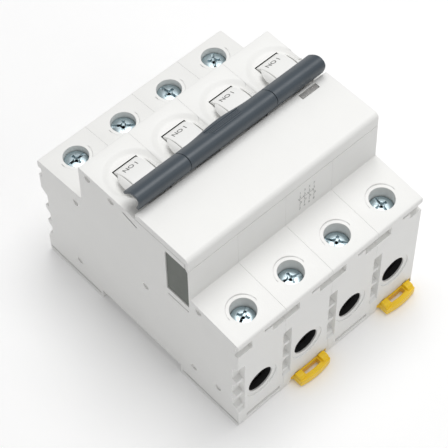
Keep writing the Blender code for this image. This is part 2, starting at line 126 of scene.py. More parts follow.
HANDLE_FLARE, HANDLE_FLARE_REACH = 0.95, 12    # the grip swells this much, out to this x
CLIP_HALF_WIDTH, CLIP_ROUNDING = 7.0, 0.22
STEM_ANGLE, STEM_HALF_WIDTH, STEM_REACH = 25.8, 1.5, 15.2
SIDE_DIMPLES = [(-25.6, 42.1), (-18.3, 60.8), (-8.4, 60.4), (-27.4, 9.6), (4.1, 31.6), (26.6, 44.2),
                (23.7, 10.5), (34.0, 11.8)]
SIDE_DIMPLE_RADIUS, SIDE_DIMPLE_DEPTH, SIDE_GROOVE_DEPTH = 1.15, 0.55, 0.3
SYMBOL_X, SYMBOL_Z = -8.2, 53.2
SYMBOL_POLES = [-2.7 + 1.8 * k for k in range(4)]      # where each pole's line stands in the symbol
CAMERA_PLACE = (0.1903, 0.2085, 0.4368)                # metres
CAMERA_RIGHT, CAMERA_UP = Vector((-0.7335, 0.67963, -0.00868)), Vector((-0.56526, -0.60288, 0.56304))


# ---------------------------------------------------------------- mesh tools


def arc(centre, radius, start, end, steps):
    """Points on a circle, at angles in degrees from the second axis towards the first."""
    angles = [math.radians(start + (end - start) * i / steps) for i in range(steps + 1)]
    return [(centre[0] + radius * math.sin(a), centre[1] + radius * math.cos(a)) for a in angles]


def filleted(corners, steps=4):
    """An outline whose corners (a, b, radius) are rounded by arcs."""
    outline = []
    for i, (a, b, radius) in enumerate(corners):
        here = Vector((a, b))
        before = (Vector(corners[i - 1][:2]) - here).normalized()
        after = (Vector(corners[(i + 1) % len(corners)][:2]) - here).normalized()
        if radius == 0:
            outline.append((a, b))
            continue
        half = before.angle(after) / 2
        reach = radius / math.tan(half)
        middle = here + (before + after).normalized() * radius / math.sin(half)
        first, last = here + before * reach - middle, here + after * reach - middle
        sweep = first.angle_signed(last)
        outline += [tuple(middle + Matrix.Rotation(-sweep * k / steps, 2) @ first) for k in range(steps + 1)]
    return outline


def smooth_line(points, steps=5):
    """A Catmull-Rom curve through 2-D points."""
    ends = [2 * Vector(points[0]) - Vector(points[1])], [2 * Vector(points[-1]) - Vector(points[-2])]
    knots = ends[0] + [Vector(point) for point in points] + ends[1]
    line = []
    for i in range(1, len(knots) - 2):
        p0, p1, p2, p3 = knots[i - 1:i + 3]
        for k in range(steps):
            t = k / steps
            line.append(0.5 * (2 * p1 + (p2 - p0) * t + (2 * p0 - 5 * p1 + 4 * p2 - p3) * t ** 2
                               + (3 * p1 - p0 - 3 * p2 + p3) * t ** 3))
    return line + [Vector(points[-1])]


def extruded(points, direction):
    """A flat outline of 3-D points, made solid along a direction."""
    shape = bmesh.new()
    face = shape.faces.new([shape.verts.new(point) for point in points])
    pulled = bmesh.ops.extrude_face_region(shape, geom=[face])
    moved = [item for item in pulled["geom"] if isinstance(item, bmesh.types.BMVert)]
    bmesh.ops.translate(shape, vec=Vector(direction), verts=moved)
    bmesh.ops.recalc_face_normals(shape, faces=shape.faces)
    return shape


def side_prism(outline, x0, x1):
    """An outline of (y, z) points, solid from x0 to x1."""
    return extruded([(x0, y, z) for y, z in outline], (x1 - x0, 0, 0))


def plan_prism(outline, z0, z1):
    """An outline of (x, y) points, solid from z0 to z1."""
    return extruded([(x, y, z0) for x, y in outline], (0, 0, z1 - z0))


def block(x, y, z):
    """A box, from its two limits along each axis."""
    return plan_prism([(x[0], y[0]), (x[1], y[0]), (x[1], y[1]), (x[0], y[1])], z[0], z[1])


def rod(axis, radius, start, end, at, sides=48, end_radius=None):
    """A round rod or cone along an axis, through the point that the other two axes give."""
    shape = bmesh.new()
    bmesh.ops.create_cone(shape, cap_ends=True, segments=sides, radius1=radius,
                          radius2=radius if end_radius is None else end_radius, depth=end - start)
    turn = {"X": Matrix.Rotation(math.pi / 2, 4, "Y"), "Y": Matrix.Rotation(-math.pi / 2, 4, "X"),
            "Z": Matrix.Identity(4)}[axis]
    middle = list(at)
    middle.insert("XYZ".index(axis), (start + end) / 2)
    bmesh.ops.transform(shape, matrix=Matrix.Translation(middle) @ turn, verts=shape.verts)
    return shape


def turned(profile, at, sides=48):
    """A solid of revolution about a line along Z, from (radius, z) points that start and end on it."""
    shape = bmesh.new()
    rings = []
    for radius, z in profile:
        if radius == 0:
            rings.append([shape.verts.new((at[0], at[1], z))])
            continue
        rings.append([shape.verts.new((at[0] + radius * math.cos(2 * math.pi * k / sides),
                                       at[1] + radius * math.sin(2 * math.pi * k / sides), z))
                      for k in range(sides)])
    for low, high in zip(rings, rings[1:]):
        for k in range(sides):
            n = (k + 1) % sides
            corners = [low[k % len(low)], low[n % len(low)], high[n % len(high)], high[k % len(high)]]
            shape.faces.new(list(dict.fromkeys(corners)))
    bmesh.ops.recalc_face_normals(shape, faces=shape.faces)
    return shape


def loft(sections):
    """A closed skin through loops of 3-D points, with flat ends."""
    shape = bmesh.new()
    loops = [[shape.verts.new(point) for point in section] for section in sections]
    count = len(loops[0])
    for one, two in zip(loops, loops[1:]):
        for k in range(count):
            n = (k + 1) % count
            shape.faces.new((one[k], one[n], two[n], two[k]))
    shape.faces.new(list(reversed(loops[0])))
    shape.faces.new(loops[-1])
    bmesh.ops.recalc_face_normals(shape, faces=shape.faces)
    return shape


def object_from(name, shape):
    """Makes an object of a shape in millimetres, and uses the shape up."""
    for vert in shape.verts:
        vert.co *= MM
    mesh = bpy.data.meshes.new(name)
    shape.to_mesh(mesh)
    shape.free()
    item = bpy.data.objects.new(name, mesh)
    bpy.context.scene.collection.objects.link(item)
    return item


def carved(base, cuts=(), additions=()):
    """Adds shapes to a base shape, then cuts others from it, and returns the tidy result as a shape."""
    item = object_from("carving", base)
    tools = []
    for operation, shapes in (("UNION", additions), ("DIFFERENCE", cuts)):
        if not shapes:
            continue
        group = bpy.data.collections.new(operation)
        tools.append(group)
        for shape in shapes:
            tool = object_from("tool", shape)
            bpy.context.scene.collection.objects.unlink(tool)
            group.objects.link(tool)
        bpy.context.scene.collection.children.link(group)
        modifier = item.modifiers.new(operation, "BOOLEAN")
        modifier.operation = operation
        modifier.operand_type = "COLLECTION"
        modifier.collection = group
        modifier.solver = "EXACT"
    result = bmesh.new()
    result.from_mesh(item.evaluated_get(bpy.context.evaluated_depsgraph_get()).to_mesh())
    for group in tools:
        for tool in list(group.objects):
            bpy.data.objects.remove(tool)
        bpy.data.collections.remove(group)
    bpy.data.objects.remove(item)
    bmesh.ops.remove_doubles(result, verts=result.verts, dist=2e-6)
    bmesh.ops.dissolve_limit(result, angle_limit=math.radians(0.05), verts=result.verts, edges=result.edges)
    for vert in result.verts:
        vert.co /= MM
    return result


def weigh_edges(mesh, shares, sharp):
    """Gives each sharp edge its share of the rounding, as a bevel weight."""
    shape = bmesh.new()
    shape.from_mesh(mesh)
    weights = [0.0 if edge.calc_face_angle(0) < sharp else share
               for edge, share in zip(shape.edges, shares)]
    shape.free()
    mesh.attributes.new("bevel_weight_edge", "FLOAT", "EDGE").data.foreach_set("value", weights)


def add_piece(name, shape, body, material, replaces=(), rounding=SOFT_EDGE, sharp=32, segments=2,
              softness=None):
    """Makes a visible piece that rides on a body, with its edges rounded.

    softness gives an edge's share of the rounding, from its two ends in millimetres.
    """
    shares = []
    if softness:
        shares = [softness([vert.co.copy() for vert in edge.verts]) for edge in shape.edges]
    piece = object_from(name, shape)
    piece.data.materials.append(material)
    piece.data.shade_smooth()
    piece.data.set_sharp_from_angle(angle=math.radians(sharp))
    if rounding:
        bevel = piece.modifiers.new("rounded edges", "BEVEL")
        bevel.width = rounding * MM
        bevel.segments = segments
        bevel.limit_method = "ANGLE"
        bevel.angle_limit = math.radians(sharp)
        bevel.use_clamp_overlap = False
        bevel.harden_normals = True
        if softness:
            weigh_edges(piece.data, shares, math.radians(sharp))
            bevel.limit_method = "WEIGHT"
    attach(piece, body)
    if replaces:
        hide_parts(*replaces)
    return piece


# ---------------------------------------------------------------- materials


def node(tree, kind, **inputs):
    """Adds a shader node and sets its inputs by name, with _ for a space."""
    made = tree.nodes.new(kind)
    for name, value in inputs.items():
        made.inputs[name.replace("_", " ")].default_value = value
    return made


def surface(name, colour, roughness, metallic=0.0, variation=0.03, grain=0.02, grain_scale=2500.0,
            rough_variation=0.06, stretch=(1, 1, 1), **sockets):
    """A Principled material with soft colour mottling, uneven gloss and a fine moulded or rolled grain."""
    material = bpy.data.materials.new(name)
    material.use_nodes = True
    tree = material.node_tree
    shader = tree.nodes["Principled BSDF"]
    shader.inputs["Metallic"].default_value = metallic
    for socket, value in sockets.items():
        shader.inputs[socket.replace("_", " ")].default_value = value
    place = tree.nodes.new("ShaderNodeTexCoord")
    scaled = tree.nodes.new("ShaderNodeMapping")
    scaled.inputs["Scale"].default_value = stretch
    tree.links.new(place.outputs["Object"], scaled.inputs["Vector"])

    def noise(scale, detail):
        texture = node(tree, "ShaderNodeTexNoise", Scale=scale, Detail=detail)
        tree.links.new(scaled.outputs["Vector"], texture.inputs["Vector"])
        return texture

    mottling = noise(90.0, 4.0)
    ramp = tree.nodes.new("ShaderNodeValToRGB")
    ramp.color_ramp.elements[0].position = 0.3
    ramp.color_ramp.elements[1].position = 0.7
    ramp.color_ramp.elements[0].color = (*[c * (1 - variation) for c in colour], 1)
    ramp.color_ramp.elements[1].color = (*[min(1.0, c * (1 + variation)) for c in colour], 1)
    tree.links.new(mottling.outputs["Fac"], ramp.inputs["Fac"])
    tree.links.new(ramp.outputs["Color"], shader.inputs["Base Color"])
    gloss = node(tree, "ShaderNodeMapRange", To_Min=roughness - rough_variation,
                 To_Max=roughness + rough_variation)
    tree.links.new(noise(400.0, 3.0).outputs["Fac"], gloss.inputs["Value"])
    tree.links.new(gloss.outputs["Result"], shader.inputs["Roughness"])
    bump = node(tree, "ShaderNodeBump", Strength=grain, Distance=0.0002)
    tree.links.new(noise(grain_scale, 2.0).outputs["Fac"], bump.inputs["Height"])
    tree.links.new(bump.outputs["Normal"], shader.inputs["Normal"])
    return material


WHITE = surface("moulded_white", (0.87, 0.868, 0.85), 0.48, variation=0.008, grain=0.12)
TOGGLE_WHITE = surface("toggle_white", (0.90, 0.90, 0.885), 0.36, variation=0.006, grain=0.05)
SLATE = surface("handle_slate", (0.056, 0.072, 0.088), 0.42, variation=0.05, grain=0.10)
GREEN_GREY = surface("insert_grey", (0.135, 0.148, 0.130), 0.55, variation=0.04, grain=0.15)
WINDOW_GREY = surface("window_grey", (0.80, 0.79, 0.77), 0.55, variation=0.04, grain=0.1)
YELLOW = surface("clip_yellow", (1.0, 0.64, 0.014), 0.34, variation=0.03, grain=0.06)
SMOKE = surface("window_smoke", (0.74, 0.73, 0.71), 0.12, variation=0.05, grain=0.02,
                Transmission_Weight=0.55, IOR=1.49)
RED = surface("flag_red", (0.55, 0.03, 0.02), 0.45, grain=0.05)
ZINC = surface("zinc_plate", (0.50, 0.60, 0.64), 0.34, metallic=1.0, variation=0.1, grain=0.12,
               grain_scale=900.0, rough_variation=0.08)
STEEL = surface("rolled_steel", (0.50, 0.50, 0.49), 0.36, metallic=1.0, variation=0.08, grain=0.2,
                stretch=(1, 12, 1), rough_variation=0.1)
COPPER = surface("copper", (0.72, 0.36, 0.20), 0.34, metallic=1.0, variation=0.1, grain=0.15)
BIMETAL = surface("bimetal", (0.50, 0.45, 0.37), 0.38, metallic=1.0, variation=0.08, grain=0.2,
                  stretch=(1, 1, 14))
# Black of the trip bar, and also painted shade for the ring inside each cable hole.
BLACK_AND_PAINTED_SHADE = surface("moulded_black_and_painted_shade", (0.02, 0.02, 0.021), 0.5, variation=0.1, grain=0.1)
INK = surface("printed_grey", (0.16, 0.16, 0.155), 0.6, variation=0.1, grain=0.02)
PALE_INK = surface("printed_pale_grey", (0.42, 0.42, 0.41), 0.6, variation=0.06, grain=0.02)


# ---------------------------------------------------------------- case


def case_outline():
    """One pole's outline in (y, z), with its corners rounded."""
    near_end, near_nose = SHELF["near"]
    far_end, far_nose = SHELF["far"]
    step_y = NOSE_NEAR_Y - COVER_LEG
    return filleted([
        (-END_Y, 0, FOOT_ROUND), (RAIL_FAR_Y, 0, 0.6),
        (RAIL_FAR_Y + RAIL_TOOTH_REACH, RAIL_TOOTH_Z, 0.3), (RAIL_FAR_Y, RAIL_SEAT_Z, 0.2),
        (RAIL_NEAR_Y, RAIL_SEAT_Z, 0.2), (RAIL_NEAR_Y - RAIL_TOOTH_REACH, RAIL_TOOTH_Z, 0.3),
        (RAIL_NEAR_Y, 0, 0.6), (END_Y, 0, FOOT_ROUND),
        (END_Y, near_end, LIP_ROUND), (SHOULDER_Y["near"], near_nose, SHOULDER_ROUND),
        (NOSE_NEAR_Y, COVER_STEP_Z, 0), (step_y, COVER_STEP_Z, 0), (step_y, CASE_TOP, 0),
        (NOSE_FAR_Y, CASE_TOP, NOSE_ROUND), (SHOULDER_Y["far"], far_nose, SHOULDER_ROUND),
        (-END_Y, far_end, LIP_ROUND)])


def cavity_outline():
    """The hollow inside one pole in (y, z): a deep middle, and lower room under each terminal block."""
    nose_far, nose_near = NOSE_FAR_Y + NOSE_WALL["far"], NOSE_NEAR_Y - NOSE_WALL["near"]
    return [(CAVITY_END["far"], CAVITY_FLOOR), (CAVITY_END["near"], CAVITY_FLOOR),
            (CAVITY_END["near"], BLOCK_FLOOR), (BLOCK_END["near"], BLOCK_FLOOR),
            (BLOCK_END["near"], CAVITY_SHELF), (nose_near, CAVITY_SHELF), (nose_near, CAVITY_TOP),
            (nose_far, CAVITY_TOP), (nose_far, CAVITY_SHELF), (BLOCK_END["far"], CAVITY_SHELF),
            (BLOCK_END["far"], BLOCK_FLOOR), (CAVITY_END["far"], BLOCK_FLOOR)]


def shelf_height(end, y):
    """The height of a sloping shelf's face at y."""
    outer, inner = SHELF[end]
    share = (abs(y) - abs(SHOULDER_Y[end])) / (END_Y - abs(SHOULDER_Y[end]))
    return inner + (outer - inner) * share


def terminal_cuts(pole, end):
    """The screw well with its ring, the hole for the thread, and the cable hole with its ring and funnel."""
    centre, sign = CENTRE[pole], ENDS[end]
    low, high = SCREW[pole, end]
    y = (low.y + high.y) / 2
    well_floor = high.z - HEAD_HEIGHT - 0.3
    ring_z = shelf_height(end, y) - WELL_RING_DEPTH
    cable = sorted((CAVITY_END[end] - sign, sign * (END_Y + OVERSHOOT)))
    ring = sorted((sign * (END_Y - CABLE_RING_DEPTH), sign * (END_Y + OVERSHOOT)))
    funnel = sorted((CAVITY_END[end] - sign, sign * FUNNEL_END))
    return [rod("Y", FUNNEL_RADIUS, *funnel, (centre, CABLE_Z), 48),
            rod("Z", WELL_RADIUS, well_floor, WELL_CUTTER_TOP, (centre, y), 64),
            rod("Z", WELL_RING_RADIUS, ring_z, WELL_CUTTER_TOP, (centre, y), 64),
            rod("Z", THREAD_HOLE_RADIUS, BLOCK_FLOOR - OVERSHOOT, well_floor + OVERSHOOT, (centre, y), 24),
            rod("Y", CABLE_RADIUS, *cable, (centre, CABLE_Z), 56),
            rod("Y", CABLE_RING_RADIUS, *ring, (centre, CABLE_Z), 64)]


def end_cuts(pole, end):
    """The notches under the lip, the stepped recess beside the pole's seam and the groove above the foot."""
    centre, sign = CENTRE[pole], ENDS[end]
    lip = sorted((sign * (END_Y - 1.4), sign * (END_Y + OVERSHOOT)))
    notch_low, notch_step, notch_top = 39.4, 41.9, 42.9
    shapes = [block((centre - PITCH, centre - 4.2), lip, (notch_low, notch_top)),
              block((centre - 4.2, centre - 1.0), lip, (notch_step, notch_top)),
              block((centre + 3.7, centre + PITCH), lip, (notch_low, notch_top))]
    outside, tread, depth = END_Y + OVERSHOOT, 41.7, 40.0
    steps = [(outside, 33.2), (42.0, 32.2), (depth, 30.6),
             (depth, 25.2), (tread, 24.6), (tread, 23.2), (depth, 21.4),
             (depth, 17.6), (tread, 17.0), (tread, 15.6), (depth + 0.1, 13.9),
             (depth + 0.1, 10.6), (tread, 9.9), (tread, 8.5), (outside, 7.2)]
    profile = [(sign * y, z) for y, z in steps]
    shapes.append(side_prism(profile, centre + 6.4, centre + PITCH))
    if pole > 1:
        shapes.append(side_prism(profile, centre - PITCH, centre - PITCH / 2 + 0.6))
    if (pole, end) not in CLIPS:
        foot = sorted((sign * (END_Y - 0.9), sign * (END_Y + OVERSHOOT)))
        shapes.append(block((centre - 7.6, centre + 5.6), foot, (2.2, 3.9)))
    return shapes


def clip_pocket(pole, end):
    """Room under the foot for the sliding rail clip, a little wider and higher than the clip."""
    low, high = box_mm(f"pole_{pole}_{end}_rail_clip")
    middle, half = (low.x + high.x) / 2, CLIP_HALF_WIDTH + 0.2
    inner_y = 15.9
    reach = sorted((ENDS[end] * inner_y, ENDS[end] * (END_Y + OVERSHOOT)))
    return block((middle - half, middle + half), reach, (-OVERSHOOT, high.z + 0.25))


def dish(pole):
    """The shallow round dish that each toggle stands in, with a soft rim."""
    floor_z, rim, steps = CASE_TOP - DISH_DEPTH, DISH_RADIUS, 6
    profile = [(0, floor_z), (rim - DISH_EASE, floor_z)]
    for k in range(1, steps + 1):
        ease = 0.5 - 0.5 * math.cos(math.pi * k / steps)
        profile.append((rim - DISH_EASE + DISH_EASE * k / steps, floor_z + (DISH_DEPTH + 0.03) * ease))
    profile += [(rim, CASE_TOP + OVERSHOOT), (0, CASE_TOP + OVERSHOOT)]
    return turned(profile, (CENTRE[pole] + DISH_CENTRE[0], DISH_CENTRE[1]), 72)


def toggle_slot(pole):
    """The slot that the drum shows through, and the round room that the drum turns in."""
    middle = CENTRE[pole] + TOGGLE_OFFSET
    reach = DRUM_HALF_WIDTH + DRUM_GAP
    outline = filleted([(middle - reach, SLIT_Y, 1.2), (middle + reach, SLIT_Y, 0.3),
                        (middle + reach, SLIT_NEAR_Y, 0.3), (middle - reach, SLIT_NEAR_Y, 0.3)])
    return [plan_prism(outline, CAVITY_TOP - OVERSHOOT, CASE_TOP + 2 * OVERSHOOT),
            rod("X", DRUM_RADIUS + DRUM_GAP, middle - reach, middle + reach, (AXIS_Y, AXIS_Z), 96)]


def side_face_cuts():
    """Dimples, slots and grooves in the two outer side faces."""
    shapes = []
    outside = HALF_WIDTH + OVERSHOOT
    for sign in (-1, 1):
        dimple = sorted((sign * (HALF_WIDTH - SIDE_DIMPLE_DEPTH), sign * outside))
        shapes += [rod("X", SIDE_DIMPLE_RADIUS, *dimple, place, 24) for place in SIDE_DIMPLES]
        groove = sorted((sign * (HALF_WIDTH - SIDE_GROOVE_DEPTH), sign * outside))
        shapes.append(side_prism([(-3.4, 60.4), (2.2, 58.9), (2.3, 59.4), (-3.3, 60.9)], *groove))
        for y0, y1 in ((-END_Y - OVERSHOOT, RAIL_FAR_Y - 0.8), (RAIL_NEAR_Y + 0.8, END_Y + OVERSHOOT)):
            shapes.append(block(groove, (y0, y1), (1.7, 2.1)))
    gap, chamfer = 0.25, 0.9
    y0, y1 = INSERT_LOW.y - gap, INSERT_HIGH.y + gap
    z0, z1 = INSERT_LOW.z - gap, INSERT_HIGH.z + gap
    pocket = filleted([(y0, z0, 0.3), (y1, z0, 0.3), (y1, z1 - chamfer, 0.3), (y1 - chamfer, z1, 0.3),
                       (y0, z1, 0.3)])
    shapes.append(side_prism(pocket, HALF_WIDTH - 2.5, outside))
    shapes.append(block((HALF_WIDTH - 0.35, outside), (y0 + 0.4, y1 - 0.2), (z0 - 2.9, z0 - 2.2)))
    return shapes


def cowl(pole):
    """The swept fairing of the case that stands beside each toggle drum, level with it."""
    middle = CENTRE[pole] + TOGGLE_OFFSET
    inner, left, right, base_radius = 4.2, 7.2, 8.6, 8.0
    left_crest, right_crest = DRUM_RADIUS - 0.05, DRUM_RADIUS + 0.12
    stations, half_sweep, base_z = 8, 32, CAVITY_TOP + 0.06
    sections = []
    for k in range(-stations, stations + 1):
        side, reach, crest = (1, right, right_crest) if k > 0 else (-1, left, left_crest)
        fade = max(0, abs(k) - 1) / (stations - 1)
        x = middle + side * (inner + (reach - inner) * fade) if k else middle
        radius = crest - (crest - base_radius) * (0.5 - 0.5 * math.cos(math.pi * fade))
        outline = arc((AXIS_Y, AXIS_Z), radius, -half_sweep, half_sweep, 24)
        outline += [(outline[-1][0], base_z), (outline[0][0], base_z)]
        sections.append([(x, y, z) for y, z in outline])
    return loft(sections)


def shell_softness(x0, x1):
    """Edges round the toggle stay crisp, and those at the joint with the next pole are rounded less."""
    joints = [x for x in (x0, x1) if abs(x) < HALF_WIDTH - 1]
    side_margin, nose_margin, close = 0.5, 0.6, 0.01

    def by_toggle(point):
        inside = x0 + side_margin < point.x < x1 - side_margin
        return inside and point.z > CAVITY_TOP and point.y > NOSE_FAR_Y + nose_margin

    def share(ends):
        if all(by_toggle(point) for point in ends):
            return 0.0
        at_joint = any(all(abs(point.x - x) < close for point in ends) for x in joints)
        return POLE_SEAM_SOFTNESS if at_joint else 1.0
    return share


def build_case():
    """One moulded shell per pole, which stands for its two half shells."""
    outline = case_outline()
    inside = PITCH / 2 - WALL
    for pole in POLES:
        centre = CENTRE[pole]
        x0 = centre - PITCH / 2 + (0 if pole == 1 else SEAM / 2)
        x1 = centre + PITCH / 2 - (0 if pole == 4 else SEAM / 2)
        cuts = [side_prism(cavity_outline(), centre - inside, centre + inside)]
        cuts += [dish(other) for other in (pole, pole + 1) if other in POLES]
        cuts += toggle_slot(pole)
        for end in ENDS:
            cuts += terminal_cuts(pole, end) + end_cuts(pole, end)
            if (pole, end) in CLIPS:
                cuts.append(clip_pocket(pole, end))
        if pole in (1, 4):
            cuts += side_face_cuts()
        shell = carved(side_prism(outline, x0, x1), cuts, [cowl(pole)])
        add_piece(f"pole_{pole}_shell", shell, "case", WHITE,
                  [f"pole_{pole}_case_left", f"pole_{pole}_case_right"], softness=shell_softness(x0, x1))


def build_front_cover():
    """The cover plate, with a leg down the nose's near side, a window and room for the flag below it."""
    low, high = COVER_LOW, COVER_HIGH
    gap, leg = 0.1, 1.3
    leg_z = COVER_STEP_Z + gap
    bottom = CASE_TOP + gap
    outline = filleted([(low.y, bottom, 0), (low.y, high.z, 0.5), (high.y - 0.05, high.z, 1.7),
                        (high.y, leg_z, 0), (high.y - leg, leg_z, 0), (high.y - leg, bottom, 0)], 8)
    window = block((LENS_LOW.x - gap, LENS_HIGH.x + gap), (LENS_LOW.y - gap, LENS_HIGH.y + gap),
                   (bottom - OVERSHOOT, high.z + OVERSHOOT))
    pocket = block((low.x + 1.5, LENS_HIGH.x + 0.6), (LENS_LOW.y - 0.5, LENS_HIGH.y + 0.5),
                   (bottom - OVERSHOOT, LENS_LOW.z - gap))
    cover = carved(side_prism(outline, low.x, high.x), [window, pocket])
    add_piece("smooth_front_cover", cover, "case", WHITE, ["front_cover"], rounding=0.2)


def build_trip_window():
    """The clear window of the trip flag, and a pale plate behind it."""
    low, high = LENS_LOW, LENS_HIGH
    corners = [(low.x, low.y), (high.x, low.y), (high.x, high.y), (low.x, high.y)]
    lens = filleted([(x, y, 0.2) for x, y in corners])
    add_piece("trip_window_lens", plan_prism(lens, low.z, high.z - 0.1), "case", SMOKE,
              ["trip_window"], rounding=0.08)
    plate = block((low.x - 0.1, high.x + 0.3), (low.y - 0.2, high.y + 0.2),
                  (CASE_TOP + 0.11, CASE_TOP + 0.3))
    add_piece("trip_window_backing", plate, "case", WINDOW_GREY, rounding=0.03)


def build_side_insert():
    """The plate in the coupling window of the right side, with one corner cut off."""
    low, high = INSERT_LOW, INSERT_HIGH
    edge, chamfer = 0.2, 0.7
    face = filleted([(low.y - edge, low.z - edge, 0.2), (high.y + edge, low.z - edge, 0.2),
                     (high.y + edge, high.z - chamfer, 0.2), (high.y - chamfer, high.z + edge, 0.2),
                     (low.y - edge, high.z + edge, 0.2)])
    plate = side_prism(face, low.x, high.x + 0.45)
    add_piece("side_coupling_plate", plate, "case", GREEN_GREY, ["side_coupling_insert"],
              rounding=0.1)


# ---------------------------------------------------------------- toggles and handle


def stem_point(reach, sideways=0.0):
    """A point of the toggle's stem in (y, z), from its distance to the axis and to the stem's middle."""
    a = math.radians(STEM_ANGLE)
    return (AXIS_Y + reach * math.sin(a) + sideways * math.cos(a),
            AXIS_Z + reach * math.cos(a) - sideways * math.sin(a))


def lettering(name, text, height, material, body, placed, boldness=0.0):
    """Generic lettering as thin raised ink; placed turns (across, up, out) in millimetres into a point."""
    curve = bpy.data.curves.new(name, "FONT")
    curve.body = text
    curve.size = 1.0
    curve.align_x, curve.align_y = "CENTER", "CENTER"
    curve.resolution_u = 3
    curve.extrude = 0.001
    curve.offset = boldness
    source = bpy.data.objects.new(name, curve)
    bpy.context.scene.collection.objects.link(source)
    bpy.context.view_layer.update()
    shape = bmesh.new()
    shape.from_mesh(source.evaluated_get(bpy.context.evaluated_depsgraph_get()).to_mesh())
    bpy.data.objects.remove(source)
    heights = [vert.co.y for vert in shape.verts]
    scale = height / (max(heights) - min(heights))
    for vert in shape.verts:
        out = INK_RISE if vert.co.z > 0 else -INK_DEPTH
        vert.co = Vector(placed(vert.co.x * scale, vert.co.y * scale, out))
    bmesh.ops.remove_doubles(shape, verts=shape.verts, dist=1e-5)
    return add_piece(name, shape, body, material, rounding=0)


def on_drum(middle_x, angle):
    """Places lettering round the drum, at an angle in degrees from +Z towards -Y."""
    def placed(across, up, out):
        a = math.radians(angle) - up / DRUM_RADIUS
        radius = DRUM_RADIUS + out
        return (middle_x + across, AXIS_Y - radius * math.sin(a), AXIS_Z + radius * math.cos(a))
    return placed


def build_toggles():
    """A drum with a stem and hinge pins for each pole, with a generic mark for on and for off."""
    edge = math.degrees(math.asin(STEM_HALF_WIDTH / DRUM_RADIUS))
    axis = (AXIS_Y, AXIS_Z)
    drum_start, drum_end, hub_radius, pin_radius = -48, 98, 3.0, 1.5
    tie_reach, tie_radius = 13.0, 0.9
    outline = arc(axis, DRUM_RADIUS, drum_start, STEM_ANGLE - edge, 36)
    outline += [stem_point(STEM_REACH, -STEM_HALF_WIDTH), stem_point(STEM_REACH, STEM_HALF_WIDTH)]
    outline += arc(axis, DRUM_RADIUS, STEM_ANGLE + edge, drum_end, 30)
    outline += arc(axis, hub_radius, drum_end, drum_start + 360, 20)
    for pole in POLES:
        middle = CENTRE[pole] + TOGGLE_OFFSET
        drum = side_prism(outline, middle - DRUM_HALF_WIDTH, middle + DRUM_HALF_WIDTH)
        pin_low, pin_high = TOGGLE[pole][0].x, TOGGLE[pole][1].x
        tie_hole = rod("X", tie_radius, middle - 6, middle + 6, stem_point(tie_reach), 16)
        toggle = carved(drum, [tie_hole], [rod("X", pin_radius, pin_low, pin_high, axis, 24)])
        add_piece(f"pole_{pole}_toggle_drum", toggle, "handle", TOGGLE_WHITE,
                  [f"pole_{pole}_toggle"], rounding=0.3, segments=3)
        lettering(f"pole_{pole}_on_mark", "I ON", 1.7, INK, "handle",
                  on_drum(middle + 0.4, 26.5), boldness=0.012)
        lettering(f"pole_{pole}_off_mark", "O OFF", 1.6, INK, "handle",
                  on_drum(middle, -50.0), boldness=0.012)


def handle_section(flare):
    """The hood's outline in (y, z), open below; flare widens its far edge."""
    far_side = [(-3.95 - flare, 68.5 - flare * 0.25), (-3.3 - flare * 0.9, 69.25), (-2.1, 70.35)]
    near_side = [(-0.7, 71.3), (0.8, 71.75), (2.2, 71.3), (2.95, 70.1), (2.8, 68.2), (2.05, 65.95)]
    outer = smooth_line(far_side + near_side, 4)
    inner = []
    for i, point in enumerate(outer):
        ahead, behind = outer[min(i + 1, len(outer) - 1)], outer[max(i - 1, 0)]
        along = (ahead - behind).normalized()
        inner.append(point + Vector((along.y, -along.x)) * HANDLE_THICKNESS)
    return [tuple(point) for point in outer] + [tuple(point) for point in reversed(inner)]


def build_handle():
    """The hood over the toggles in three lengths, with a swollen grip and fine ridges in the middle."""
    joint, end, gap = HANDLE_JOINT_X, HANDLE_RIGHT_END, HANDLE_JOINT_GAP
    spans = {"left": (-end, -joint - gap), "centre": (-joint, joint), "right": (joint + gap, end)}
    for name, (x0, x1) in spans.items():
        stations = 49 if name == "centre" else 2
        sections = []
        for k in range(stations):
            x = x0 + (x1 - x0) * k / (stations - 1)
            flare = 0.0
            if abs(x) < HANDLE_FLARE_REACH:
                flare = HANDLE_FLARE * math.cos(math.pi * x / (2 * HANDLE_FLARE_REACH)) ** 2
            sections.append([(x, y, z) for y, z in handle_section(flare)])
        add_piece(f"handle_hood_{name}", loft(sections), "handle", SLATE,
                  [f"handle_{name}"], rounding=0.14, sharp=40)
    crown = handle_section(HANDLE_FLARE)
    for index in range(GRIP_RIDGES):
        y, z = crown[6 + 2 * index]
        half = 6.2 - 0.25 * index
        ridge = rod("X", 0.17, -half, half, (y, z), 12)
        add_piece(f"handle_grip_ridge_{index + 1}", ridge, "handle", SLATE, rounding=0.06)


# ---------------------------------------------------------------- terminals and clips


def build_cable_funnel(pole, end):
    """A black ring behind each cable hole: painted shade that darkens the inside of the hole."""
    inner_y, outer_y = abs(CAVITY_END[end]) + 0.05, FUNNEL_END - 0.02
    span = sorted((ENDS[end] * inner_y, ENDS[end] * outer_y))
    at = (CENTRE[pole], CABLE_Z)
    ring = carved(rod("Y", FUNNEL_RADIUS - 0.02, *span, at, 48),
                  [rod("Y", CABLE_RADIUS + 0.05, span[0] - OVERSHOOT, span[1] + OVERSHOOT, at, 48)])
    # The black ring is painted shade inside the cable hole.
    add_piece(f"pole_{pole}_{end}_cable_funnel", ring, "case", BLACK_AND_PAINTED_SHADE, rounding=0.05)


